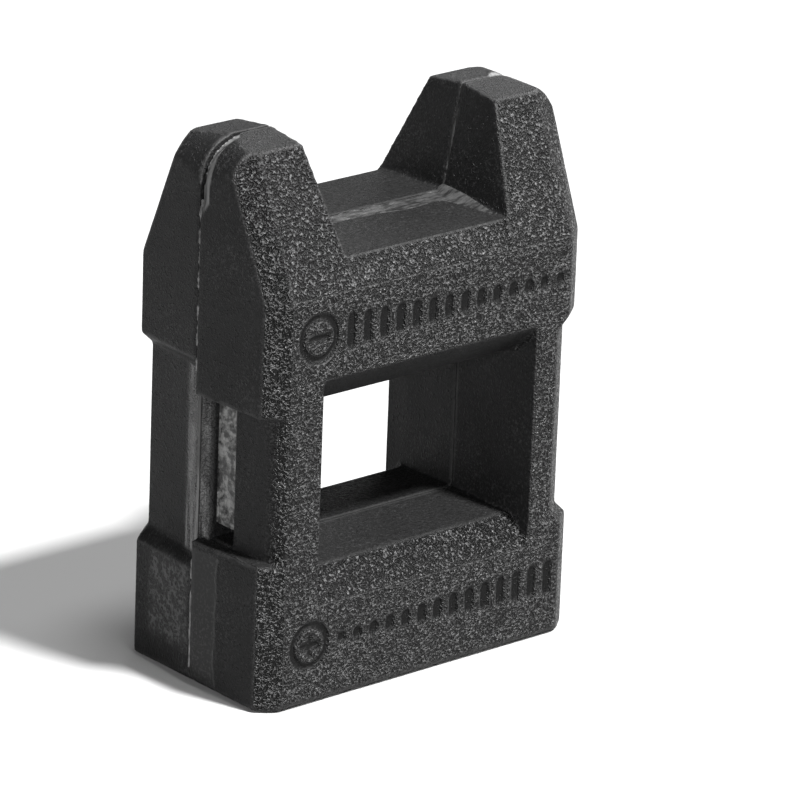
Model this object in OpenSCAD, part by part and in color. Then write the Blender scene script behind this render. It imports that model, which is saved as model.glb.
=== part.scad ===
// Pocket magnetizer and demagnetizer: two identical half shells, back to back, with magnets between them.
// X runs across the window, Y from front to back, Z up. The origin is the middle of the base.
// The halves meet on the plane y = 0. The rear half is the front half turned half a turn about Z.

/* [Body] */
// Width across the ridges where the two halves meet
body_w = 40; // [37:0.5:48]
// Depth from the front face to the rear face
body_d = 21.6; // [18:0.1:26]
// Height from the base to the crown of the horns
body_h = 54.5; // [45:0.5:66]
// Thickness of the moulded walls
wall = 2; // [1.6:0.1:2.4]
// How much narrower each side is at the outer face than at the joint
side_draft = 0.56; // [0.2:0.02:1]
// Corner chamfer, measured along the outer face
corner_face = 2.2; // [1.5:0.1:3]
// Corner chamfer, measured along the side
corner_side = 1.75; // [1:0.05:2.5]
// Rounding of the base at the left and right sides
foot_side_r = 1.5; // [0.6:0.1:2]
// Rounding of the base at the front and rear faces
foot_face_r = 1; // [0.5:0.1:1.4]

/* [Horns and notch] */
// Height of the part of the horns where the outer face leans back
lean_h = 13.5; // [11:0.5:16]
// How far the outer face has leaned back at the top of the horns
lean_in = 5.95; // [5:0.05:7]
// Drop of the horn crown from the joint to its outer edge
crown_drop = 0.6; // [0.2:0.1:1]
// Rounding of the outer shoulder of each horn
shoulder_r = 4.2; // [2:0.1:5]
// Width of a horn's corner chamfer at its top
horn_strip_w = 2.5; // [1.5:0.1:3]
// How far below the crown a horn's corner chamfer reaches its side
horn_strip_fall = 3.3; // [2:0.1:4]
// Depth of the demagnetizing notch below the crown
notch_deep = 10.4; // [8:0.1:12]
// Width of a horn where it meets the notch floor
horn_base_w = 10.2; // [9.4:0.1:11]
// Width of a horn at its crown
horn_top_w = 8.2; // [7.4:0.1:9]
// Fall of the notch floor from the joint to its outer edge
floor_drop = 0.4; // [0.1:0.05:0.6]
// Draft of the inner face of a horn, over half the depth
horn_draft = 0.25; // [0.1:0.05:0.5]
// Set-back of the notch floor's outer edge from the outer face
floor_edge_in = 1.85; // [1:0.05:2.4]

/* [Window] */
// Width of the posts beside the magnetizing window, at the outer face
post_w = 6.8; // [6.6:0.1:8]
// Height of the window's sill, at the outer face
sill_h = 10.1; // [9:0.1:12]
// Height of the bar between the window and the notch
bar_h = 11.6; // [10.5:0.1:13]
// How much further in the window's throat is at the sides, at the joint
throat_side = 0.8; // [0.4:0.1:1]
// Rise of the throat above the sill, at the joint
throat_sill = 3.1; // [2:0.1:4]
// Drop of the throat below the top of the window, at the joint
throat_top = 3.5; // [2:0.1:4]
// Depth of the flare from the outer face to the throat
flare_d = 3; // [2:0.1:4]
// Draft of the throat, from the joint to the flare
throat_draft = 0.5; // [0.2:0.1:0.6]

/* [Side recesses] */
// Depth of the recess in each side
recess_in = 1.4; // [1:0.1:1.6]
// Lower end of the tall recess above the sill
tall_low = 3; // [2:0.1:4]
// Upper end of the tall recess below the top of the window
tall_high = 0.9; // [0.4:0.1:2]
// Height of the sloping ends of the tall recess
tall_slope = 1.25; // [0.8:0.05:2]
// Lower end of the short recess above the sill
short_low = 4.7; // [4:0.1:6]
// Upper end of the short recess below the top of the window
short_high = 3.1; // [2:0.1:4]
// Width of the slot that shows the post magnet
slot_w = 3; // [2:0.1:4]
// Distance from the joint to the slot
slot_y = 1.2; // [1:0.1:2]
// Gap from the slot's ends to the ends of the short recess
slot_end = 0.3; // [0.1:0.1:1]
// Depth of the flat strip of the short recess, from the joint to where it curves out
strip_d = 6.7; // [6:0.1:7.5]
// Height of the ridge along the joint inside the recesses
ridge_h = 0.7; // [0.3:0.1:0.9]
// Width of the ridge on the side of the slot
ridge_slot = 1; // [0.6:0.1:1.2]
// Width of the ridge on the side of the tall recess
ridge_tall = 2.9; // [2:0.1:4]

/* [Magnets] */
// Thickness of a post magnet, from the side wall towards the window
post_magnet_t = 2; // [1.5:0.1:2.2]
// Length of a post magnet, front to back
post_magnet_l = 14; // [10:0.5:15]
// Height of a post magnet
post_magnet_h = 12; // [8:0.5:13]
// Thickness of the adhesive bed between a post magnet and the side wall
bed_t = 0.4; // [0.3:0.1:0.6]
// Thickness of a horn magnet, across the horn
horn_magnet_t = 3; // [2:0.1:3.5]
// Length of a horn magnet, front to back
horn_magnet_l = 10; // [6:0.5:10]
// Height of a horn magnet
horn_magnet_h = 8; // [5:0.5:9]
// How far the post magnets stand above the middle of the short recess
magnet_rise = 0.4; // [0:0.1:0.8]
// Clearance round a magnet in its pocket
magnet_gap = 0.1; // [0.05:0.05:0.2]
// Depth of the adhesive in the slot below the floor of the recess
plug_in = 0.5; // [0.2:0.1:1]

/* [Joint between the halves] */
// Diameter of the locating pins
pin_d = 2; // [1.5:0.1:2.4]
// Length of the locating pins
pin_l = 2.4; // [1.5:0.1:3]
// Clearance round and beyond a pin in its socket
pin_gap = 0.15; // [0.1:0.05:0.3]
// Width of the adhesive bead that bonds the halves
bead_w = 0.6; // [0.4:0.1:0.7]
// Depth of the bead in each half
bead_d = 0.4; // [0.3:0.1:0.6]

/* [Marks on the outer faces] */
// Depth of the moulded marks
mark_deep = 0.35; // [0.2:0.05:0.5]
// Outer diameter of the ring round a polarity sign
ring_d = 4.9; // [4:0.1:5]
// Width of the lines of the ring and its sign
line_w = 0.7; // [0.5:0.05:0.9]
// Distance from the side of the body to the middle of the ring
ring_x = 6; // [5:0.1:7]
// Height of the middle of the upper marks above the window
upper_mark = 4.4; // [3.5:0.1:5]
// Drop of the middle of the lower marks below the sill
lower_mark = 4; // [3.5:0.1:4.5]
// Width of one level bar
bar_w = 1.15; // [0.9:0.05:1.3]
// Spacing of the level bars
bar_step = 2; // [1.6:0.1:2.4]
// Height of the tallest level bar
bar_tall = 3.7; // [3:0.1:4]
// Height of the shortest level bar
bar_short = 1.25; // [1.25:0.05:2]

/* [Hidden] */
$fn = 48;

plastic_colour = "#26272a";
magnet_colour = "#8f9196";
adhesive_colour = "#b9b7ad";

reach = 200;          // longer than anything in the model, for the solids that cut it
slack = 1;            // how far a cut runs past the face it opens
overlap = 0.1;        // how far the flare of the window runs into the throat
arc_steps = 10;       // straight pieces in a rounded corner of an outline
horn_magnet_out = 0.3;   // how far the horn magnets lie outside the middle of their horns
horn_magnet_rise = 0.5;  // height of their middles above the foot of the leaning face
pin_side = 4.1;       // distance from the side of the body to the middle of a pin
pin_space = 1.4;      // least distance between a pin and a post magnet
core_wall = 1.8;      // wall between the hollow in the base and the line of the recess floors
bar_core_in = 1;      // distance from the notch's side to the end of the hollow in the bar
bead_cover = 0.7;     // plastic between the line of the recess floors and the outer bead
bead_in = 1;          // distance from the rest of the outline to the outer bead
throat_bead_in = 0.6; // distance from the throat to the inner bead
sign_gap = 0.45;      // gap between the ring and the ends of its sign's strokes
mark_gap = 1.5;       // distance from the ring to the middle of the first level bar
last_bar = 4;         // least distance from the last level bar to the side of the body
half_w = body_w / 2;
half_d = body_d / 2;
lean_z = body_h - lean_h;
floor_z = body_h - notch_deep;
window_z = floor_z - bar_h;                   // top of the window at the outer face
window_half = half_w - post_w;
notch_half = half_w - horn_base_w;
crown_half = half_w - horn_top_w;
crown_y = half_d - lean_in;
floor_edge_y = half_d - floor_edge_in;
corner_x = half_w - side_draft;
corner_y = half_d - corner_side;
recess_x = half_w - recess_in;                // floor of a recess at the joint
tall_low_z = sill_h + tall_low;
tall_high_z = window_z - tall_high;
short_low_z = sill_h + short_low;
short_high_z = window_z - short_high;
strip_draft = 0.3;                            // draft of the strip of the short recess
strip_curve_w = 1.5;                          // how far in the strip curves before the outer face
throat_half = window_half - throat_side;
throat_low_z = sill_h + throat_sill;
throat_high_z = window_z - throat_top;
magnet_z = (short_low_z + short_high_z) / 2 + magnet_rise;
bed_x = recess_x - wall;                      // outer face of the adhesive bed
post_magnet_x = bed_x - bed_t;                // outer face of a post magnet
post_pocket_x = post_magnet_x - post_magnet_t - magnet_gap;
horn_magnet_x = half_w - horn_base_w / 2 + horn_magnet_out;
horn_magnet_z = lean_z + horn_magnet_rise;
pin_x = half_w - pin_side;
pin_z_step = post_magnet_h / 2 + pin_d / 2 + pin_space;    // from the middle of a magnet to a pin
pin_low_z = magnet_z - pin_z_step;
pin_high_z = magnet_z + pin_z_step;
core_half = recess_x - core_wall;             // half width of the hollow in the base
core_top_z = sill_h - wall;
core_y = half_d - wall;
bar_core_low_z = window_z + wall;
bar_core_high_z = floor_z - floor_drop - wall;
bar_core_half = notch_half - bar_core_in;
bead_side = recess_in + bead_cover;           // from the side of the body to the outer bead
sign_l = ring_d - 2 * (line_w + sign_gap);    // length of a polarity sign's strokes
first_bar = ring_x + ring_d / 2 + mark_gap;   // from the side of the body to the first level bar
bar_count = floor((body_w - first_bar - last_bar) / bar_step) + 1;

function arc(x, z, r, from, to) =
  [for (i = [0:arc_steps]) let (a = from + (to - from) * i / arc_steps) [x + r * cos(a), z + r * sin(a)]];
function mirrored(points) = [for (i = [len(points) - 1:-1:0]) [-points[i][0], points[i][1]]];

// Removes everything past the plane through point p, on the side that n points to
module beyond(p, n) {
  translate(p)
    rotate([0, acos(n[2] / norm(n)), atan2(n[1], n[0])])
      translate([-reach / 2, -reach / 2, 0])
        cube([reach, reach, reach]);
}

// The same, with the plane given by three points in anticlockwise order seen from outside
module beyond_points(a, b, c) {
  beyond(a, cross(b - a, c - a));
}

// Stands a drawing of the X-Z plane upright and gives it thickness from y_front to y_back
module upright(y_front, y_back) {
  translate([0, y_back, 0])
    rotate([90, 0, 0])
      linear_extrude(y_back - y_front)
        children();
}

// Outline of the joint, seen from the front, without the notch
module joint_outline() {
  right = concat(
    arc(half_w - foot_side_r, foot_side_r, foot_side_r, -90, 0),
    arc(half_w - shoulder_r, body_h - shoulder_r, shoulder_r, 0, 90)
  );
  polygon(concat(right, mirrored(right)));
}

// Outline of the front half, seen from the right side: x here is the model's -Y
module side_outline() {
  polygon(concat(
    [[0, body_h], [0, 0]],
    arc(half_d - foot_face_r, foot_face_r, foot_face_r, -90, 0),
    [[half_d, lean_z], [crown_y, body_h - crown_drop]]
  ));
}

// Outline of the front half, seen from above
module plan_outline() {
  right = [[corner_x - corner_face, -half_d], [corner_x, -corner_y], [half_w, 0]];
  polygon(concat(right, mirrored(right)));
}

// The corner chamfer of one horn, which leans back with the outer face and twists as it narrows
module horn_corner() {
  low_side = [corner_x, -corner_y, lean_z];
  low_face = [corner_x - corner_face, -half_d, lean_z];
  high_side = [corner_x, -crown_y, body_h - horn_strip_fall];
  high_face = [corner_x - horn_strip_w, -crown_y, body_h - crown_drop];
  beyond_points(low_side, high_side, low_face);
  beyond_points(low_face, high_side, high_face);
}

// The demagnetizing notch between the horns: open above, with a sloping floor and drafted walls
module notch() {
  difference() {
    translate([-half_w, -reach, 0])
      cube([body_w, reach + slack, reach]);
    beyond([0, 0, floor_z], [0, floor_drop, -floor_edge_y]);
    for (side = [0, 1])
      mirror([side, 0, 0])
        beyond_points(
          [notch_half, 0, floor_z],
          [crown_half, 0, body_h],
          [notch_half + horn_draft, -half_d, floor_z]
        );
  }
}

// The front edge of the bar leans back further than the horns do
module bar_lean() {
  intersection() {
    beyond([0, -half_d, lean_z], [0, lean_z - floor_z, half_d - floor_edge_y]);
    translate([-notch_half, -reach, 0])
      cube([2 * notch_half, reach, reach]);
  }
}

// One stage of the window, between two rectangles [half width, low, high] at two depths
module window_stage(y_in, inner, y_out, outer) {
  difference() {
    translate([-half_w, y_out, 0])
      cube([body_w, y_in - y_out, reach]);
    for (side = [0, 1])
      mirror([side, 0, 0])
        beyond_points([inner[0], y_in, 0], [inner[0], y_in, 1], [outer[0], y_out, 0]);
    beyond_points([0, y_in, inner[1]], [1, y_in, inner[1]], [0, y_out, outer[1]]);
    beyond_points([1, y_in, inner[2]], [0, y_in, inner[2]], [0, y_out, outer[2]]);
  }
}

// The magnetizing window: a drafted throat and a flare that opens to the outer face
module window() {
  joint = [throat_half, throat_low_z, throat_high_z];
  throat = joint + throat_draft * [1, -1, 1];
  edge = [window_half, sill_h, window_z];
  flare_y = -half_d + flare_d;
  spread = (edge - throat) * slack / flare_d;
  window_stage(slack, joint, flare_y, throat);
  window_stage(flare_y + overlap, throat, -half_d - slack, edge + spread);
}

// The solid that the tall recess leaves past one of its ends: it slopes back from the recess floor
// at height floor_end to the outline of the body at height block_end
module recess_end(floor_end, block_end) {
  up = sign(floor_end - block_end);
  side = [half_w, 0, block_end];
  corner = [corner_x, -corner_y, block_end];
  face = [corner_x - corner_face, -half_d, block_end];
  floor_corner = [corner_x - recess_in, -corner_y, floor_end];
  difference() {
    translate([0, -half_d - 2 * slack, floor_end + up * slack + (up > 0 ? -reach : 0)])
      cube([reach, reach, reach]);
    beyond(side, up * cross(floor_corner - side, corner - side));
    beyond(corner, up * cross(floor_corner - corner, face - corner));
  }
}

// The tall recess in one side, with sloping ends
module tall_recess() {
  difference() {
    translate([0, -half_d - slack, tall_low_z - tall_slope])
      cube([body_w, half_d + 2 * slack, tall_high_z - tall_low_z + 2 * tall_slope]);
    linear_extrude(body_h)
      polygon([
        [-slack, 2 * slack],
        [recess_x + ridge_h, 2 * slack],
        [recess_x + ridge_h, 0],
        [recess_x, -ridge_tall],
        [corner_x - recess_in, -corner_y],
        [corner_x - recess_in - 2 * corner_face, -half_d - corner_side],
        [-slack, -half_d - corner_side]
      ]);
    recess_end(tall_low_z, tall_low_z - tall_slope);
    recess_end(tall_high_z, tall_high_z + tall_slope);
  }
}

// The short recess in the other side, with square ends, a flat strip and a curve out to the front
module short_recess() {
  curve = [for (i = [0:arc_steps]) let (a = 90 * i / arc_steps) [
    -recess_x + strip_draft + strip_curve_w * (1 - cos(a)),
    -strip_d - (half_d - strip_d) * sin(a)
  ]];
  difference() {
    translate([-half_w - slack, -half_d - slack, short_low_z])
      cube([half_w, half_d + 2 * slack, short_high_z - short_low_z]);
    linear_extrude(body_h)
      polygon(concat(
        [[0, slack], [-recess_x - ridge_h, slack], [-recess_x - ridge_h, 0], [-recess_x, -ridge_slot]],
        curve,
        [[0, -half_d]]
      ));
  }
}

// The slot through the wall of the short recess, and the space it opens below the magnet
module slot() {
  translate([-half_w - slack, -slot_y - slot_w, short_low_z + slot_end])
    cube([half_w + slack - post_pocket_x, slot_w, short_high_z - short_low_z - 2 * slot_end]);
}

// Half of a magnet's pocket: open at the joint, with the magnet's clearance on the other faces
module pocket(x_low, x_high, long, z_mid, tall) {
  translate([x_low, -long / 2 - magnet_gap, z_mid - tall / 2 - magnet_gap])
    cube([x_high - x_low, long / 2 + magnet_gap + slack, tall + 2 * magnet_gap]);
}

module pockets() {
  for (side = [0, 1])
    mirror([side, 0, 0]) {
      pocket(post_pocket_x, bed_x, post_magnet_l, magnet_z, post_magnet_h);
      pocket(
        horn_magnet_x - horn_magnet_t / 2 - magnet_gap,
        horn_magnet_x + horn_magnet_t / 2 + magnet_gap,
        horn_magnet_l, horn_magnet_z, horn_magnet_h
      );
    }
}

// The hollows that keep the walls of the base and the bar even
module cores() {
  translate([-core_half, -core_y, wall])
    cube([2 * core_half, core_y + slack, core_top_z - wall]);
  translate([-bar_core_half, -core_y, bar_core_low_z])
    cube([2 * bar_core_half, core_y + slack, bar_core_high_z - bar_core_low_z]);
}

// Corners of the outer bead's outline, moved in by inset
function outer_bead(inset) =
  let (side = half_w - bead_side - inset, top = body_h - bead_in - inset)
  let (right = [
    [side, bead_in + inset],
    [side, body_h - shoulder_r - bead_in],
    [half_w - shoulder_r - inset / 2, top],
    [crown_half + bead_in + inset, top],
    [notch_half + bead_in + inset, floor_z - bead_in - inset]
  ])
  concat(right, mirrored(right));

module bead_outline() {
  difference() {
    polygon(outer_bead(0));
    polygon(outer_bead(bead_w));
  }
  difference() {
    throat_frame(throat_bead_in + bead_w);
    throat_frame(throat_bead_in);
  }
}

module throat_frame(out) {
  translate([-throat_half - out, throat_low_z - out])
    square([2 * (throat_half + out), throat_high_z - throat_low_z + 2 * out]);
}

// Pins stand on the left of each half and enter the sockets on the right of the other
module pins(diameter, y_front, y_back) {
  for (z = [pin_low_z, pin_high_z])
    translate([0, y_back, z])
      rotate([90, 0, 0])
        cylinder(h = y_back - y_front, d = diameter);
}

module level_bar(tall) {
  square([bar_w, tall - bar_w], center = true);
  for (side = [-1, 1])
    translate([0, side * (tall - bar_w) / 2])
      circle(d = bar_w);
}

// A polarity sign in a ring, and a row of level bars that grows or dies away to the right
module mark_row(plus) {
  translate([-half_w + ring_x, 0]) {
    difference() {
      circle(d = ring_d);
      circle(d = ring_d - 2 * line_w);
    }
    square([sign_l, line_w], center = true);
    if (plus)
      square([line_w, sign_l], center = true);
  }
  for (i = [0:bar_count - 1]) {
    share = i / (bar_count - 1);
    tall = bar_short + (bar_tall - bar_short) * (plus ? share : 1 - share);
    translate([-half_w + first_bar + i * bar_step, 0])
      level_bar(tall);
  }
}

module marks() {
  upright(-half_d - slack, -half_d + mark_deep) {
    translate([0, window_z + upper_mark])
      mark_row(false);
    translate([0, sill_h - lower_mark])
      mark_row(true);
  }
}

// The outside of one half, with everything that is open to the outside
module half_body() {
  difference() {
    intersection() {
      upright(-half_d, 0)
        joint_outline();
      linear_extrude(body_h)
        plan_outline();
      rotate([90, 0, -90])
        linear_extrude(body_w, center = true)
          side_outline();
    }
    for (side = [0, 1])
      mirror([side, 0, 0])
        horn_corner();
    notch();
    bar_lean();
    window();
    tall_recess();
    short_recess();
    marks();
  }
}

// One moulded half: the front half as it stands
module half_shell() {
  difference() {
    half_body();
    slot();
    pockets();
    cores();
    upright(-bead_d, slack)
      bead_outline();
    translate([pin_x, 0, 0])
      pins(pin_d + 2 * pin_gap, -pin_l - pin_gap, slack);
  }
  translate([-pin_x, 0, 0])
    pins(pin_d, -slack, pin_l);
}

module half_turn() {
  rotate([0, 0, 180])
    children();
}

module front_shell() {
  color(plastic_colour) half_shell();
}

module rear_shell() {
  color(plastic_colour) half_turn() half_shell();
}

module seam_adhesive() {
  color(adhesive_colour)
    upright(-bead_d, bead_d)
      bead_outline();
}

module right_post_magnet() {
  color(magnet_colour)
    translate([post_magnet_x - post_magnet_t, -post_magnet_l / 2, magnet_z - post_magnet_h / 2])
      cube([post_magnet_t, post_magnet_l, post_magnet_h]);
}

module left_post_magnet() {
  half_turn() right_post_magnet();
}

// A bed on the face of the magnet, and the plug that fills the slot above the magnet's lower edge
module right_magnet_adhesive() {
  bed_low = magnet_z - post_magnet_h / 2;
  plug_low = max(bed_low, short_low_z + slot_end);
  color(adhesive_colour) {
    translate([post_magnet_x, -post_magnet_l / 2, bed_low])
      cube([bed_t, post_magnet_l, post_magnet_h]);
    translate([post_magnet_x, slot_y, plug_low])
      cube([recess_x - plug_in - post_magnet_x, slot_w, short_high_z - slot_end - plug_low]);
  }
}

module left_magnet_adhesive() {
  half_turn() right_magnet_adhesive();
}

module right_horn_magnet() {
  color(magnet_colour)
    translate([horn_magnet_x, 0, horn_magnet_z])
      cube([horn_magnet_t, horn_magnet_l, horn_magnet_h], center = true);
}

module left_horn_magnet() {
  half_turn() right_horn_magnet();
}

front_shell();
rear_shell();
seam_adhesive();
left_post_magnet();
right_post_magnet();
left_magnet_adhesive();
right_magnet_adhesive();
left_horn_magnet();
right_horn_magnet();
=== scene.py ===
"""Looks for the pocket demagnetizer: grained black plastic shells, moulding flash along the joint,
adhesive that has set in the side slots, and plated magnets. All lengths below are in millimetres
until they reach Blender, which works in metres."""

import math

import bpy
import numpy as np
from mathutils import Matrix, Vector, noise


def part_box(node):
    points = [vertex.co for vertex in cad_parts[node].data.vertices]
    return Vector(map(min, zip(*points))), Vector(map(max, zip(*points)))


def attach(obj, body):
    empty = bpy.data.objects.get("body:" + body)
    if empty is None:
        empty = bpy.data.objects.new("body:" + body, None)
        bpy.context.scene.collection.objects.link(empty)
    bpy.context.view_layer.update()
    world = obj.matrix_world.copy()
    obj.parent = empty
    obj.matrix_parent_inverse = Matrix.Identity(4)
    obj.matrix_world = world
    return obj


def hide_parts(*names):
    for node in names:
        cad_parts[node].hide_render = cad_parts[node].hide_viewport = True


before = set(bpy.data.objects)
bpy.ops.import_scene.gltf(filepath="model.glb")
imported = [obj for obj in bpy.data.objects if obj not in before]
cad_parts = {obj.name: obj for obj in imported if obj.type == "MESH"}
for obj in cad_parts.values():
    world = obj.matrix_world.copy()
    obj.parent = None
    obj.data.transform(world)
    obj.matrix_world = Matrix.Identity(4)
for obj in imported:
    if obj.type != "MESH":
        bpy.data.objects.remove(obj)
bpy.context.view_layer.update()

MM = 0.001

# ---------------------------------------------------------------- sizes taken from the frame
SHELL_LOW, SHELL_HIGH = (np.array(corner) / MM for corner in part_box("front_shell"))
HALF_W = SHELL_HIGH[0]
HALF_D = -SHELL_LOW[1]
HEIGHT = SHELL_HIGH[2]

LEAN_Z = HEIGHT - 13.5            # above this the outer faces of the horns lean back
FLOOR_Z = HEIGHT - 10.4           # floor of the notch at the joint
FLOOR_DROP = 0.4
FLOOR_EDGE_Y = HALF_D - 1.85
NOTCH_HALF = HALF_W - 10.2
CROWN_HALF = HALF_W - 8.2         # inner edge of a horn's crown
RECESS_X = HALF_W - 1.4           # floor of the side recesses
SHORT_RECESS = (14.8, 29.4)       # ends of the recess with the slot
TALL_RECESS = (13.1, 31.6)        # ends of the recess without it
SLOT_Y = (1.2, 4.2)               # how far in front of the joint the slot starts and ends
SLOT_X = (14, 18.5)
MARK_DEPTH = 0.35

FRONT = np.array([1, 1, 1])       # the rear half is the front half turned about the vertical
REAR = np.array([-1, -1, 1])

# ---------------------------------------------------------------- camera
CAMERA_AZIMUTH = math.radians(-41.12)
CAMERA_ELEVATION = math.radians(20.25)
CAMERA_ROLL = math.radians(2.17)
CAMERA_DISTANCE = 0.6025
CAMERA_LENS = 283.76
CAMERA_TARGET = Vector((0.00204, -0.00394, 0.02541))


def add_camera():
    """A long lens at the left of the front face, a little above the object."""
    flat = math.cos(CAMERA_ELEVATION)
    back = Vector((
        math.sin(CAMERA_AZIMUTH) * flat,
        -math.cos(CAMERA_AZIMUTH) * flat,
        math.sin(CAMERA_ELEVATION),
    ))
    level = Vector((math.cos(CAMERA_AZIMUTH), math.sin(CAMERA_AZIMUTH), 0))
    upright = back.cross(level)
    right = level * math.cos(CAMERA_ROLL) + upright * math.sin(CAMERA_ROLL)
    up = upright * math.cos(CAMERA_ROLL) - level * math.sin(CAMERA_ROLL)
    data = bpy.data.cameras.new("camera")
    data.lens = CAMERA_LENS
    data.sensor_width = 36
    data.clip_end = 10
    camera = bpy.data.objects.new("camera", data)
    turn = Matrix((right, up, back)).transposed().to_4x4()
    camera.matrix_world = Matrix.Translation(CAMERA_TARGET + back * CAMERA_DISTANCE) @ turn
    bpy.context.collection.objects.link(camera)
    bpy.context.scene.camera = camera


# ---------------------------------------------------------------- node helpers
class Nodes:
    """A short way to write a material's node tree."""

    def __init__(self, name):
        self.material = bpy.data.materials.new(name)
        self.material.use_nodes = True
        self.tree = self.material.node_tree
        self.shader = self.tree.nodes["Principled BSDF"]
        self.place = self.node("ShaderNodeTexCoord").outputs["Object"]

    def node(self, kind, **settings):
        made = self.tree.nodes.new(kind)
        for key, value in settings.items():
            setattr(made, key, value)
        return made

    def put(self, socket, value):
        """Gives a socket another node's output, or a plain value."""
        if isinstance(value, bpy.types.NodeSocket):
            self.tree.links.new(value, socket)
        else:
            socket.default_value = value

    def math(self, operation, a, b=0.0, clamp=False):
        made = self.node("ShaderNodeMath", operation=operation, use_clamp=clamp)
        self.put(made.inputs[0], a)
        self.put(made.inputs[1], b)
        return made.outputs[0]

    def add(self, a, b):
        return self.math("ADD", a, b)

    def times(self, a, b):
        return self.math("MULTIPLY", a, b)

    def span(self, value, low, high, to_low=0.0, to_high=1.0):
        """Maps low..high smoothly to to_low..to_high."""
        made = self.node("ShaderNodeMapRange", interpolation_type="SMOOTHSTEP")
        for socket, number in zip(made.inputs, (value, low, high, to_low, to_high)):
            self.put(socket, number)
        return made.outputs[0]

    def blend(self, share, a, b):
        made = self.node("ShaderNodeMix", data_type="RGBA")
        self.put(made.inputs[0], share)
        self.put(made.inputs[6], a)
        self.put(made.inputs[7], b)
        return made.outputs[2]

    def mix(self, share, a, b):
        made = self.node("ShaderNodeMix", data_type="FLOAT")
        self.put(made.inputs[0], share)
        self.put(made.inputs[2], a)
        self.put(made.inputs[3], b)
        return made.outputs[0]

    def mask(self, name):
        """A mask that was stored on the mesh, point by point."""
        made = self.node("ShaderNodeAttribute", attribute_name=name)
        return made.outputs["Fac"]

    def stretched(self, scale):
        """The object's coordinates scaled along x, y and z; a small scale draws noise out."""
        made = self.node("ShaderNodeVectorMath", operation="MULTIPLY")
        self.put(made.inputs[0], self.place)
        made.inputs[1].default_value = scale
        return made.outputs[0]

    def noise(self, size, detail=2.0, rough=0.5, where=None, distortion=0.0):
        """Noise whose blotches are about size millimetres across."""
        made = self.node("ShaderNodeTexNoise")
        self.put(made.inputs["Vector"], where or self.place)
        made.inputs["Scale"].default_value = 1 / (size * MM)
        made.inputs["Detail"].default_value = detail
        made.inputs["Roughness"].default_value = rough
        made.inputs["Distortion"].default_value = distortion
        return made.outputs["Fac"]

    def cells(self, size, where, smooth):
        """Distance to the middle of cells that are about size millimetres across."""
        made = self.node("ShaderNodeTexVoronoi", feature="SMOOTH_F1")
        self.put(made.inputs["Vector"], where)
        made.inputs["Scale"].default_value = 1 / (size * MM)
        made.inputs["Smoothness"].default_value = smooth
        return made.outputs["Distance"]

    def warped(self, size, strength):
        """The object's coordinates pushed about by noise, strength in millimetres."""
        drift = self.node("ShaderNodeTexNoise")
        self.put(drift.inputs["Vector"], self.place)
        drift.inputs["Scale"].default_value = 1 / (size * MM)
        drift.inputs["Detail"].default_value = 1.0
        made = self.node("ShaderNodeVectorMath", operation="MULTIPLY_ADD")
        self.put(made.inputs[0], drift.outputs["Color"])
        made.inputs[1].default_value = (strength * MM,) * 3
        self.put(made.inputs[2], self.place)
        return made.outputs[0]

    def bump(self, height, depth):
        """A bump whose full range of height is depth millimetres."""
        made = self.node("ShaderNodeBump")
        made.inputs["Strength"].default_value = 1.0
        made.inputs["Distance"].default_value = depth * MM
        self.put(made.inputs["Height"], height)
        return made.outputs[0]

    def finish(self, colour, rough, normal, metal=0.0, level=0.5):
        self.put(self.shader.inputs["Base Color"], colour)
        self.put(self.shader.inputs["Roughness"], rough)
        self.put(self.shader.inputs["Normal"], normal)
        self.shader.inputs["Metallic"].default_value = metal
        self.shader.inputs["Specular IOR Level"].default_value = level
        return self.material


# ---------------------------------------------------------------- materials
def grey(value, blue=0.0):
    return (value, value, value + blue, 1)


BLACK = grey(0.0035, 0.0001)      # the plain skin
BLACK_WORN = grey(0.0070, 0.0002)
BLACK_DUSTY = grey(0.024, 0.0002)
# painted shade: the valleys of the grain, the floors of the marks and the low upward faces
PAINTED_SHADE_BLACK = grey(0.001)          # valleys of the grain, floors of the marks
# painted highlight on the crests of the grain
RIDGE_HIGHLIGHT_BLACK = grey(0.052, 0.0004)
# painted highlight along the rounded edges, and the pale rim of the scraping
EDGE_HIGHLIGHT_AND_RIM_BLACK = grey(0.040)        # edges
BLACK_SCUFFED = grey(0.060, 0.0002)
TRIM_DARK = grey(0.024)           # where a knife has cut
# pale streaks on the knife-cut facets: partly the cut surface, partly painted sheen
TRIM_PALE_AND_SHEEN = grey(0.110)
BURR_PALE = grey(0.140)
FLASH_DARK = grey(0.006)
FLASH_PALE = grey(0.032)
PAINT_DARK = grey(0.25)
PAINT_PALE = grey(0.26)
ADHESIVE_DARK = (0.012, 0.012, 0.0118, 1)
ADHESIVE_PALE = (0.13, 0.13, 0.128, 1)
PLATING_DARK = (0.46, 0.46, 0.47, 1)
PLATING_PALE = (0.62, 0.62, 0.63, 1)
PLATING_DULL = (0.22, 0.21, 0.20, 1)

GRAIN_DEPTH = 0.28
SHELL_LEVEL = 0.16                # black plastic shows little shine of its own


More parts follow.
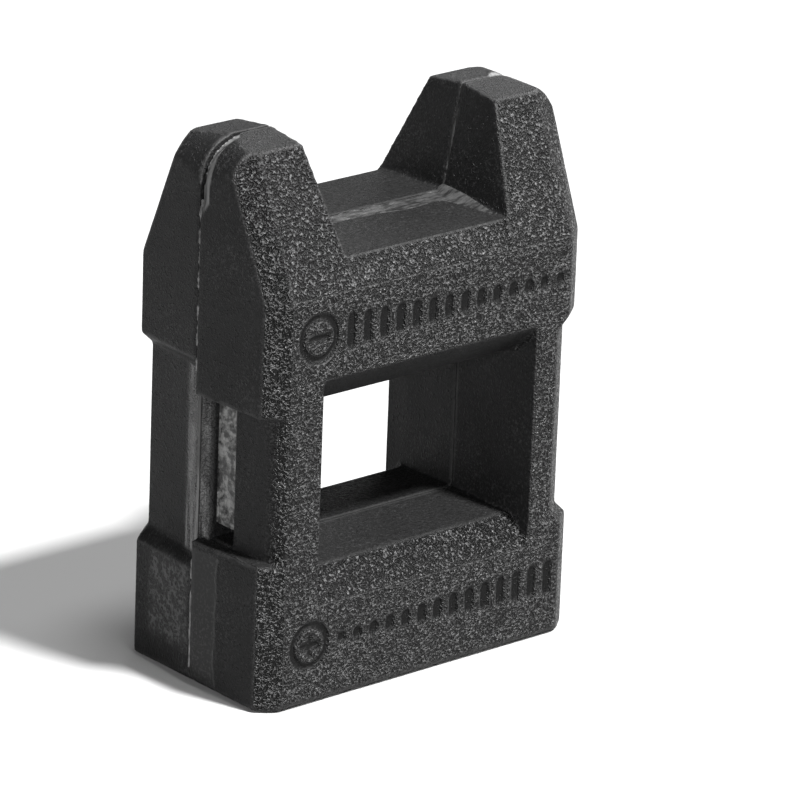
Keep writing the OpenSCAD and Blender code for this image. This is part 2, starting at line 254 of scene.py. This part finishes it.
def shell_plastic():
    """Black moulded plastic. Masks on the mesh say where the mould was coarse, where the surface
    faces up (matte, which also carries painted shade), where a mark is sunk (groove, whose floor
    gets painted shade), what a knife has trimmed or scraped, the rim of the scraping, a pitted
    patch, and how far each edge is rounded (edge) or worn, both of which carry a painted
    highlight. The grain gets painted shade in its valleys and a painted highlight on its crests,
    and the trimmed faces get pale streaks that are partly painted sheen."""
    n = Nodes("shell_plastic")
    worn_and_highlit = n.mask("worn_and_highlit")
    coarse = n.times(n.mask("coarse"), n.span(worn_and_highlit, 0.0, 1.0, 1.0, 0.45))
    trimmed = n.mask("trimmed")
    scraped = n.mask("scraped")
    rim = n.mask("rim")
    matte_and_shaded = n.mask("matte_and_shaded")
    groove = n.mask("groove")
    pitted = n.mask("pitted")
    edge = n.mask("edge")

    # the leather grain: pebbles crossed by wrinkles
    pebbles = n.cells(0.32, n.warped(0.5, 0.35), 0.3)
    folds = n.noise(0.41, 1.0, 0.5, n.warped(0.7, 0.4))
    wrinkle = n.math("ABSOLUTE", n.math("SUBTRACT", folds, 0.5))
    grain = n.math("SUBTRACT", 0.6, n.times(wrinkle, 3.0))
    grain = n.math("SUBTRACT", grain, n.times(pebbles, 0.45))
    ridges = n.span(grain, -0.30, 0.56)
    crests = n.span(grain, 0.16, 0.46)
    fine = n.noise(0.14, 2.0, 0.6)
    specks = n.span(n.noise(0.33, 1.0, 0.5), 0.60, 0.74)

    # colour
    tone = n.span(n.noise(6.0, 3.0, 0.6), 0.3, 0.7)
    colour = n.blend(n.times(tone, 0.6), BLACK, BLACK_WORN)
    # painted shade in the valleys of the grain and a painted highlight on its crests
    colour = n.blend(coarse, colour, n.blend(crests, PAINTED_SHADE_BLACK, RIDGE_HIGHLIGHT_BLACK))
    dust = n.span(n.noise(0.28, 3.0, 0.7), 0.50, 0.66)
    dust = n.times(dust, n.math("SUBTRACT", 1.0, coarse))
    dust = n.times(dust, n.span(n.noise(7.0, 2.0, 0.5), 0.35, 0.65, 0.3, 1.0))
    colour = n.blend(dust, colour, BLACK_DUSTY)
    # painted shade, in blotches, on the upward faces low on the shells, such as the notch floor
    # between the horns
    shaded = n.span(n.noise(0.35, 3.0, 0.7), 0.36, 0.62, 1.0, 0.25)
    colour = n.blend(n.times(matte_and_shaded, shaded), colour, PAINTED_SHADE_BLACK)
    # painted shade on the floors of the sunk marks
    colour = n.blend(groove, colour, PAINTED_SHADE_BLACK)
    # painted highlight along the rounded edges, mixed with the pale rim of the scraping
    edge_highlight_and_rim = n.math("MAXIMUM", n.times(worn_and_highlit, 0.3), n.times(n.math("MAXIMUM", edge, rim), 0.5))
    colour = n.blend(edge_highlight_and_rim, colour, EDGE_HIGHLIGHT_AND_RIM_BLACK)
    streaks = n.noise(0.7, 3.0, 0.6, n.stretched((1.0, 1.0, 0.10)))
    haze = n.span(n.noise(3.4, 2.0, 0.5, n.stretched((1.0, 1.0, 0.5))), 0.38, 0.60)
    pale = n.times(n.span(streaks, 0.32, 0.60), n.span(haze, 0.0, 1.0, 0.35, 1.0))
    # knife-trimmed faces get pale streaks: partly the cut surface, partly painted sheen
    colour = n.blend(trimmed, colour, n.blend(pale, TRIM_DARK, TRIM_PALE_AND_SHEEN))
    pits = n.cells(0.42, n.warped(0.6, 0.35), 0.15)
    broken = n.span(n.noise(0.9, 3.0, 0.7), 0.36, 0.60)
    pit_rims = n.times(n.span(pits, 0.28, 0.60), broken)
    scuffed = n.times(pitted, n.span(pit_rims, 0.0, 1.0, 0.15, 0.75))
    colour = n.blend(scuffed, colour, BLACK_SCUFFED)

    # roughness
    rough = n.mix(matte_and_shaded, 0.50, n.span(n.noise(0.30, 3.0, 0.7), 0.35, 0.65, 0.80, 0.55))
    rough = n.mix(coarse, rough, n.span(crests, 0.0, 1.0, 0.42, 0.25))
    rough = n.add(rough, n.times(n.noise(1.7, 3.0), 0.10))
    rough = n.mix(scraped, rough, 0.34)
    rough = n.mix(trimmed, rough, n.span(streaks, 0.3, 0.7, 0.24, 0.42))

    # relief
    plain = n.math("SUBTRACT", 1.0, n.math("MAXIMUM", trimmed, scraped), clamp=True)
    satin = n.times(n.add(n.times(fine, 0.26), n.times(specks, 0.30)), plain)
    brushed = n.noise(0.30, 3.0, 0.7, n.stretched((0.45, 1.0, 1.0)))
    height = n.add(satin, n.times(ridges, coarse))
    height = n.add(height, n.times(n.times(brushed, matte_and_shaded), plain))
    height = n.add(height, n.times(n.times(streaks, trimmed), 0.06))
    height = n.add(height, n.times(n.times(pit_rims, pitted), 0.12))
    return n.finish(colour, rough, n.bump(height, GRAIN_DEPTH), level=SHELL_LEVEL)


def flash_plastic(name, dark, light, level):
    """Thin torn flash of the same plastic, paler and glossier than the grained skin."""
    n = Nodes(name)
    drag = n.noise(0.5, 4.0, 0.65, n.stretched((0.35, 1.0, 0.35)))
    pale = n.span(drag, 0.34, 0.66)
    colour = n.blend(pale, dark, light)
    rough = n.span(drag, 0.3, 0.7, 0.52, 0.34)
    return n.finish(colour, rough, n.bump(drag, 0.14), level=level)


def set_adhesive():
    """Grey adhesive that has set hard: crusted where it met the plastic, slick in the middle."""
    n = Nodes("set_adhesive")
    crust = n.noise(0.8, 4.0, 0.65)
    folds = n.noise(0.9, 2.0, 0.5, n.warped(1.4, 0.8), distortion=1.2)
    pale = n.span(crust, 0.40, 0.64)
    colour = n.blend(pale, ADHESIVE_DARK, ADHESIVE_PALE)
    rough = n.span(folds, 0.3, 0.7, 0.28, 0.6)
    height = n.add(crust, n.times(folds, 0.6))
    return n.finish(colour, rough, n.bump(height, 0.12))


def magnet_plating():
    """Nickel plating on a ferrite block, with fine lengthwise brushing and dull spots."""
    n = Nodes("magnet_plating")
    brushed = n.noise(0.25, 3.0, 0.6, n.stretched((1.0, 0.06, 1.0)))
    dull = n.span(n.noise(2.5, 3.0, 0.6), 0.5, 0.75)
    colour = n.blend(n.span(brushed, 0.3, 0.7), PLATING_DARK, PLATING_PALE)
    colour = n.blend(n.times(dull, 0.5), colour, PLATING_DULL)
    rough = n.add(n.span(brushed, 0.3, 0.7, 0.24, 0.38), n.times(dull, 0.2))
    return n.finish(colour, rough, n.bump(brushed, 0.02), metal=1.0)


# ---------------------------------------------------------------- mesh helpers
def smoothstep(low, high, value):
    share = np.clip((value - low) / (high - low), 0, 1)
    return share * share * (3 - 2 * share)


def within(low, high, value, soft):
    """1 inside low..high and 0 outside, with soft edges."""
    above = smoothstep(low - soft, low + soft, value)
    return above * (1 - smoothstep(high - soft, high + soft, value))


def wander(points, size, seed):
    """Smooth noise from -1 to 1 at each point, with blotches about size millimetres across."""
    shift = Vector((seed * 17.3, seed * 9.1, seed * 5.7))
    return np.array([noise.noise(Vector(point) / size + shift) for point in points])


def ripple(values, size, seed):
    """Smooth noise from -1 to 1 along a line of numbers."""
    shift = (seed * 7.7, seed * 3.1)
    return np.array([noise.noise(Vector((value / size, *shift))) for value in values])


def points_of(mesh):
    flat = np.empty(len(mesh.vertices) * 3)
    mesh.vertices.foreach_get("co", flat)
    return flat.reshape(-1, 3) / MM


def set_points(mesh, points):
    mesh.vertices.foreach_set("co", (points * MM).ravel())
    mesh.update()


def normals_of(mesh):
    flat = np.empty(len(mesh.vertices) * 3)
    mesh.vertex_normals.foreach_get("vector", flat)
    return flat.reshape(-1, 3)


def edges_of(mesh):
    flat = np.empty(len(mesh.edges) * 2, dtype=np.int64)
    mesh.edges.foreach_get("vertices", flat)
    return flat.reshape(-1, 2)


def relaxed(points, edges, rounds):
    """Moves each point halfway to the middle of its neighbours, a few times."""
    ends = np.concatenate([edges[:, 0], edges[:, 1]])
    others = np.concatenate([edges[:, 1], edges[:, 0]])
    count = np.bincount(ends, minlength=len(points))[:, None]
    for _ in range(rounds):
        totals = [np.bincount(ends, points[others, k], len(points)) for k in range(3)]
        points = points + (np.stack(totals, axis=1) / count - points) / 2
    return points


def store(mesh, name, values):
    made = mesh.attributes.new(name, "FLOAT", "POINT")
    made.data.foreach_set("value", np.clip(values, 0, 1).astype(np.float32))


def smooth_shaded(mesh):
    mesh.polygons.foreach_set("use_smooth", [True] * len(mesh.polygons))
    mesh.update()


def piece(name, mesh, material, slot, *nodes):
    """A new shown object that rides with the root and has one material slot, holding the given
    material. The slot argument is not used.
    """
    made = bpy.data.objects.new(name, mesh)
    bpy.context.collection.objects.link(made)
    mesh.materials.clear()
    mesh.materials.append(material)
    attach(made, "root")
    if nodes:
        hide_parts(*nodes)
    return made


def applied(mesh, *modifiers):
    """A copy of mesh with modifiers applied, each given as (kind, settings)."""
    carrier = bpy.data.objects.new("carrier", mesh)
    bpy.context.collection.objects.link(carrier)
    for kind, settings in modifiers:
        modifier = carrier.modifiers.new(kind, kind)
        for key, value in settings.items():
            setattr(modifier, key, value)
    graph = bpy.context.evaluated_depsgraph_get()
    made = bpy.data.meshes.new_from_object(carrier.evaluated_get(graph))
    bpy.data.objects.remove(carrier)
    return made


def copied(node):
    """A copy of a CAD node's mesh with its split points joined again."""
    return applied(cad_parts[node].data.copy(), ("WELD", {"merge_threshold": 1e-6}))


def slab(name, top, bottom):
    """A closed mesh between two grids of points, in millimetres."""
    rows, columns = top.shape[:2]
    points = np.concatenate([top.reshape(-1, 3), bottom.reshape(-1, 3)]) * MM
    step = rows * columns
    faces = []
    for i in range(rows - 1):
        for j in range(columns - 1):
            a = i * columns + j
            b, c, d = a + 1, a + columns + 1, a + columns
            faces.append((a, b, c, d))
            faces.append((d + step, c + step, b + step, a + step))
    rim = list(range(columns))
    rim += [i * columns + columns - 1 for i in range(1, rows)]
    rim += [(rows - 1) * columns + j for j in range(columns - 2, -1, -1)]
    rim += [i * columns for i in range(rows - 2, 0, -1)]
    for a, b in zip(rim, rim[1:] + rim[:1]):
        faces.append((b, a, a + step, b + step))
    mesh = bpy.data.meshes.new(name)
    mesh.from_pydata(points.tolist(), [], faces)
    mesh.update()
    smooth_shaded(mesh)
    return mesh


# ---------------------------------------------------------------- shells
SHELL_VOXEL = 0.2
SHELL_ROUNDS = 4                  # how many times the edges are softened
SINK_DEPTH = 0.02                 # middle depth of the sink marks, and how much it varies
SIDE_X = 18                       # beyond this a point belongs to one of the sides
SHOULDER_CUT_Z = 47.6             # where the shoulder cut starts
SHOULDER_CUT_W = 1.45
SHOULDER_CUT_SLOPE = 0.30
SLOT_FACET_W = 1.15               # how wide a knife has trimmed the joint in each recess
TALL_FACET_W = 2.7
SCRAPED_Z = (0.9, 14.0)           # the scraped band beside the joint, low on one side
SCRAPED_W = 3.5
PITTED_Z = (3.6, 11.8)            # the pitted patch low on the other side
PITTED_Y = (-6.6, -0.5)
SEAM_SINK = 0.05                  # how far the sides sink beside the joint
JOINT_GAP = 0.05                  # each half stands this far back from the joint, more or less
PIN_Y = 0.3                       # what reaches further across the joint is a pin


def shoulder_cut(points, seed):
    """How deep a knife has cut each point of the front half along one rounded shoulder."""
    x, y, z = points.T
    reach = within(SHOULDER_CUT_Z, HEIGHT + 1, z, 1.4) * smoothstep(14.6, 16.8, -x)
    width = SHOULDER_CUT_W * reach + 0.30 * reach * wander(points, 2.2, seed)
    width = width + 0.10 * wander(points, 1.1, seed) - 0.08
    return np.maximum(width + y, 0) * SHOULDER_CUT_SLOPE


def grained(points, normals):
    """Where the front half has the coarse grain, and where the floors of its marks are."""
    x, y, z = points.T
    outward = -normals[:, 1]
    grain = smoothstep(0.12, 0.40, outward) * (1 - smoothstep(0.35, 0.55, -normals[:, 2]))
    mark_floor = within(-HALF_D + MARK_DEPTH / 2, -HALF_D + 2 * MARK_DEPTH, y, 0.05)
    mark_floor *= 1 - smoothstep(LEAN_Z - 1.2, LEAN_Z - 1, z)
    mark_floor *= 1 - smoothstep(16.6, 17, np.abs(x))
    mark_floor *= smoothstep(0.75, 0.9, outward)
    in_slot = within(SLOT_Y[0] - 0.3, SLOT_Y[1] + 0.3, -y, 0.1) * within(*SLOT_X, -x, 0.1)
    return grain * (1 - mark_floor) * (1 - in_slot), mark_floor


def trimming(points, normals, seed):
    """Where a knife has trimmed the joint of the front half: in both recesses and on a shoulder."""
    x, y, z = points.T
    ragged = 0.12 * wander(points, 0.8, seed)
    ridge = smoothstep(RECESS_X + 0.02, RECESS_X + 0.12, np.abs(x))
    side = smoothstep(0.6, 0.8, np.abs(normals[:, 0]))
    slot_facet = ridge * side * (x < 0) * within(*SHORT_RECESS, z, 0.1)
    slot_facet = slot_facet * within(-SLOT_FACET_W, 1, y + ragged, 0.06)
    tall_facet = ridge * side * (x > 0) * within(*TALL_RECESS, z, 0.1)
    tall_facet = tall_facet * within(-TALL_FACET_W, 1, y + ragged, 0.06)
    shoulder = smoothstep(0.01, 0.04, shoulder_cut(points, seed))
    return np.maximum(np.maximum(slot_facet, tall_facet), shoulder)


def shell_masks(points, normals, seed):
    """Where each kind of surface lies, in the coordinates of the front half."""
    x, y, z = points.T
    coarse, mark_floor = grained(points, normals)
    trimmed = trimming(points, normals, seed)
    drift = 0.5 * wander(points, 3.5, seed + 1) + 0.15 * wander(points, 0.7, seed + 2)
    band = (x < -SIDE_X) * within(*SCRAPED_Z, z, 0.2)
    patch = (x > SIDE_X) * within(*PITTED_Z, z + drift, 0.8) * within(*PITTED_Y, y + drift, 0.5)
    low = 1 - smoothstep(FLOOR_Z + 0.3, FLOOR_Z + 1.2, z)
    return {
        "coarse": coarse,
        "trimmed": trimmed,
        "scraped": band * within(-SCRAPED_W, 1, y + drift, 0.08),
        "rim": band * within(-SCRAPED_W - 0.12, -SCRAPED_W + 0.08, y + drift, 0.06),
        "pitted": patch,
        # upward faces low on the shells: a rougher finish and, in the colour, painted shade
        "matte_and_shaded": smoothstep(0.75, 0.95, normals[:, 2]) * low,
        "groove": mark_floor,
    }


def set_back(points, normals, seed):
    """The points of the front half after three changes: the shoulder is cut, the sides are sunk
    beside the joint, and the joint face stands back unevenly, most where a crown is torn."""
    near = smoothstep(-0.5, -0.1, points[:, 1])
    outer = smoothstep(HALF_W - 0.6, HALF_W - 0.2, np.abs(points[:, 0]))
    depth = shoulder_cut(points, seed) + SEAM_SINK * near * outer
    points = points - normals * depth[:, None]
    crown = smoothstep(HEIGHT - 1.2, HEIGHT - 0.5, points[:, 2])
    torn = crown * smoothstep(-0.1, 0.3, wander(points, 1.3, seed + 4))
    gap = JOINT_GAP * (1 + 0.8 * wander(points, 1.6, seed + 3) + 2.4 * torn)
    y = points[:, 1]
    on_face = (y > -2 * SHELL_VOXEL) & (y <= PIN_Y)
    points[:, 1] = np.where(on_face, np.minimum(y, -gap), y)
    return points


def shell(name, node, turn, material, seed):
    """One half shell: the CAD solid with softened edges, slight sink marks and stored masks."""
    mesh = applied(copied(node), ("REMESH", {"mode": "VOXEL", "voxel_size": SHELL_VOXEL * MM}))
    points = points_of(mesh)
    normals = normals_of(mesh)
    soft = relaxed(points, edges_of(mesh), SHELL_ROUNDS)
    rounding = ((points - soft) * normals).sum(axis=1)
    sunk = SINK_DEPTH + SINK_DEPTH * wander(soft * turn, 5.0, seed)
    soft = soft - normals * sunk[:, None]
    soft = set_back(soft * turn, normals * turn, seed)
    set_points(mesh, soft * turn)
    masks = shell_masks(soft, normals_of(mesh) * turn, seed)
    # how far each edge is rounded; the colour uses both of these masks for a painted highlight
    masks["edge"] = smoothstep(0.02, 0.10, rounding)
    masks["worn_and_highlit"] = smoothstep(0.008, 0.022, rounding)
    for key, values in masks.items():
        store(mesh, key, values)
    smooth_shaded(mesh)
    return piece(name, mesh, material, "shell", node)


# ---------------------------------------------------------------- adhesive and magnets
GLUE_VOXEL = 0.12
MAGNET_EDGE = 0.25                # how far a magnet's edges are rounded


def rounded_magnet(name, node, material):
    mesh = applied(copied(node), ("BEVEL", {"width": MAGNET_EDGE * MM, "segments": 3}))
    smooth_shaded(mesh)
    return piece(name, mesh, material, "magnet", node)


def slot_adhesive(name, node, turn, material, seed):
    """The adhesive behind a slot: lumpy at its ends and smooth between them."""
    mesh = applied(copied(node), ("REMESH", {"mode": "VOXEL", "voxel_size": GLUE_VOXEL * MM}))
    points = relaxed(points_of(mesh), edges_of(mesh), 3) * turn
    facing = smoothstep(0.4, 0.8, -normals_of(mesh)[:, 0] * turn[0])
    low, high = points[:, 2].min(), points[:, 2].max()
    ends = 1 - within(low + 3.4, high - 4.2, points[:, 2] + 0.6 * wander(points, 1.5, seed), 0.6)
    lumps = 0.5 * wander(points, 0.9, seed + 1) + 0.3 * wander(points, 0.35, seed + 2)
    depth = 0.08 + ends * (0.15 - 0.3 * lumps)
    points[:, 0] += facing * depth
    set_points(mesh, points * turn)
    smooth_shaded(mesh)
    return piece(name, mesh, material, "adhesive", node)


# ---------------------------------------------------------------- flash along the joint
STRIP_W = 2.30                    # how far the notch flash reaches in front of the joint
FAN_REACH = 5.6                   # how far it runs out along the foot of a horn
STRIP_SINK = 0.045                # its face starts this far under the notch floor
STRIP_ROOT = 0.18
FIN_HALF = 0.13                   # half the thickness of a fin
FIN_ROOT = 0.48
FIN_RISE = (-0.2, 0.105)
FIN_STEP = 0.07
UPPER_FIN_Z = (31.8, 48.6)
LOWER_FIN_Z = (1.8, 12.8)
HORN_FIN_Z = (44.6, 53.0)


def notch_floor(y):
    return FLOOR_Z - FLOOR_DROP * np.abs(y) / FLOOR_EDGE_Y


def notch_flash(name, material, seed):
    """The torn flash on the notch floor: a strip beside the joint that fans out along one horn."""
    along = np.linspace(-NOTCH_HALF - 0.15, NOTCH_HALF + 0.20, 240)
    across = np.linspace(0, 1, 48)
    rear = -0.22 + 0.20 * ripple(along, 1.3, seed) + 0.16 * ripple(along, 0.35, seed + 1)
    front = -STRIP_W - 0.35 * ripple(along, 5.0, seed + 2) + 0.08 * ripple(along, 0.5, seed + 3)
    front += 0.5 * smoothstep(-NOTCH_HALF + 6, 0, -along)
    fan = smoothstep(NOTCH_HALF - 2.6, NOTCH_HALF, along)
    front -= FAN_REACH * fan ** 1.6
    rear += 0.35 * fan
    y = rear[:, None] + (front - rear)[:, None] * across[None, :]
    x = np.repeat(along[:, None], len(across), axis=1)
    grid = np.stack([x, y, np.zeros_like(x)], axis=2)
    uneven = wander(grid.reshape(-1, 3), 0.9, seed + 4).reshape(x.shape)
    lip_height = 0.08 + 0.10 * ripple(along, 0.7, seed + 5)
    lip = np.exp(-((y - rear[:, None] + 0.12) / 0.14) ** 2) * lip_height[:, None]
    crown = 0.05 * np.sin(np.pi * across) ** 0.5
    fillet = 0.55 * smoothstep(NOTCH_HALF - 1.1, NOTCH_HALF + 0.2, x)
    fillet = fillet * smoothstep(-FLOOR_EDGE_Y, -1.5, y)
    edge = smoothstep(0, 0.03, across) * (1 - smoothstep(0.96, 1, across))
    lift = (crown[None, :] + lip + 0.03 * uneven + 0.03) * edge[None, :]
    z = notch_floor(y) - STRIP_SINK + lift + fillet
    top = np.stack([x, y, z], axis=2)
    bottom = np.stack([x, y, notch_floor(y) - STRIP_ROOT], axis=2)
    return piece(name, slab(name, top[:, ::-1], bottom[:, ::-1]), material, "shell")


def seam_flash(name, material, face, outward, span_z, seed):
    """A thin broken fin of flash that stands in the joint on an upright face. face gives the x of
    the surface at a height, and outward is the sign of its normal."""
    along = np.linspace(*span_z, round((span_z[1] - span_z[0]) / FIN_STEP))
    across = np.linspace(-1, 1, 9)
    thick = FIN_HALF + 0.05 * ripple(along, 0.5, seed)
    middle = 0.05 * ripple(along, 1.8, seed + 1) + 0.03 * ripple(along, 0.4, seed + 2)
    rise = 0.20 * ripple(along, 1.4, seed + 3) + 0.10 * ripple(along, 0.35, seed + 4) + 0.06
    rise = np.clip(rise, *FIN_RISE)
    y = middle[:, None] + thick[:, None] * across[None, :]
    z = np.repeat(along[:, None], len(across), axis=1)
    surface = face(z)
    crest = surface + outward * (rise[:, None] - 0.05 * across[None, :] ** 2)
    top = np.stack([crest, y, z], axis=2)
    foot = np.stack([surface - FIN_ROOT * outward, y, z], axis=2)
    if outward > 0:
        top, foot = top[:, ::-1], foot[:, ::-1]
    return piece(name, slab(name, top, foot), material, "shell")


def add_seam_flash(pale, dark):
    """Fins on both sides above and below the recesses, and on the inner face of each horn."""
    for side, where in ((-1, "left"), (1, "right")):
        def outer(z):
            return side * (HALF_W - 0.12) + 0 * z

        def inner(z):
            lean = (CROWN_HALF - NOTCH_HALF) * (z - FLOOR_Z) / (HEIGHT - 0.6 - FLOOR_Z)
            return side * (NOTCH_HALF + lean + 0.05)

        seam_flash(where + "_upper_seam_flash", pale, outer, side, UPPER_FIN_Z, 24 + side)
        seam_flash(where + "_lower_seam_flash", pale, outer, side, LOWER_FIN_Z, 27 + side)
        seam_flash(where + "_horn_seam_flash", dark, inner, -side, HORN_FIN_Z, 50 + side)


# ---------------------------------------------------------------- stage and light
STAGE_HALF = 1.5
WORLD_STRENGTH = 0.07
LAMP_DISTANCE = 1.2
LAMPS = {                         # azimuth, elevation, diameter and power
    "key": (16, 58, 0.12, 66.0),
    "top": (0, 80, 0.30, 10.0),
    "fill": (-50, 20, 0.30, 11.0),
    "rim": (84, 30, 0.40, 8.0),
    "back": (126, 22, 0.50, 3.4),
}


def area_light(name, azimuth, elevation, size, power):
    """A round lamp aimed at the middle of the object. Azimuth 0 is in front, 90 at the right."""
    data = bpy.data.lights.new(name, "AREA")
    data.shape = "DISK"
    data.size = size
    data.energy = power
    lamp = bpy.data.objects.new(name, data)
    across, rise = math.radians(azimuth), math.radians(elevation)
    flat = math.cos(rise)
    towards = Vector((math.sin(across) * flat, -math.cos(across) * flat, math.sin(rise)))
    lamp.location = towards * LAMP_DISTANCE + Vector((0, 0, HEIGHT / 2 * MM))
    lamp.rotation_mode = "QUATERNION"
    lamp.rotation_quaternion = (-towards).to_track_quat("-Z", "Y")
    bpy.context.collection.objects.link(lamp)


def add_stage():
    """A plain pale floor, white surroundings and soft studio lamps."""
    half = STAGE_HALF
    corners = [(-half, -half, 0), (half, -half, 0), (half, half, 0), (-half, half, 0)]
    mesh = bpy.data.meshes.new("floor")
    mesh.from_pydata(corners, [], [(0, 1, 2, 3)])
    n = Nodes("floor_paint")
    mottle = n.noise(40, 2.0)
    colour = n.blend(mottle, PAINT_DARK, PAINT_PALE)
    mesh.materials.append(n.finish(colour, 0.9, n.bump(mottle, 0.01), level=0.1))
    floor = bpy.data.objects.new("floor", mesh)
    bpy.context.collection.objects.link(floor)

    world = bpy.data.worlds.new("studio")
    world.use_nodes = True
    world.node_tree.nodes["Background"].inputs["Color"].default_value = (1, 1, 1, 1)
    world.node_tree.nodes["Background"].inputs["Strength"].default_value = WORLD_STRENGTH
    bpy.context.scene.world = world
    for name, (azimuth, elevation, size, power) in LAMPS.items():
        area_light(name, azimuth, elevation, size, power)
    bpy.context.scene.view_settings.view_transform = "Standard"


def main():
    add_camera()
    add_stage()
    plastic = shell_plastic()
    flash = flash_plastic("flash_plastic", FLASH_DARK, FLASH_PALE, 0.10)
    burr = flash_plastic("burr_plastic", TRIM_DARK, BURR_PALE, 0.4)
    adhesive = set_adhesive()
    plating = magnet_plating()
    shell("front_casing", "front_shell", FRONT, plastic, seed=1)
    shell("rear_casing", "rear_shell", REAR, plastic, seed=11)
    notch_flash("notch_flash", flash, seed=21)
    add_seam_flash(burr, flash)
    slot_adhesive("left_slot_adhesive", "left_magnet_adhesive", FRONT, adhesive, seed=31)
    slot_adhesive("right_slot_adhesive", "right_magnet_adhesive", REAR, adhesive, seed=41)
    for side in ("left", "right"):
        rounded_magnet(side + "_post_magnet_block", side + "_post_magnet", plating)
        rounded_magnet(side + "_horn_magnet_block", side + "_horn_magnet", plating)
    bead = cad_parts["seam_adhesive"]
    for place in bead.material_slots:
        place.material = adhesive


main()
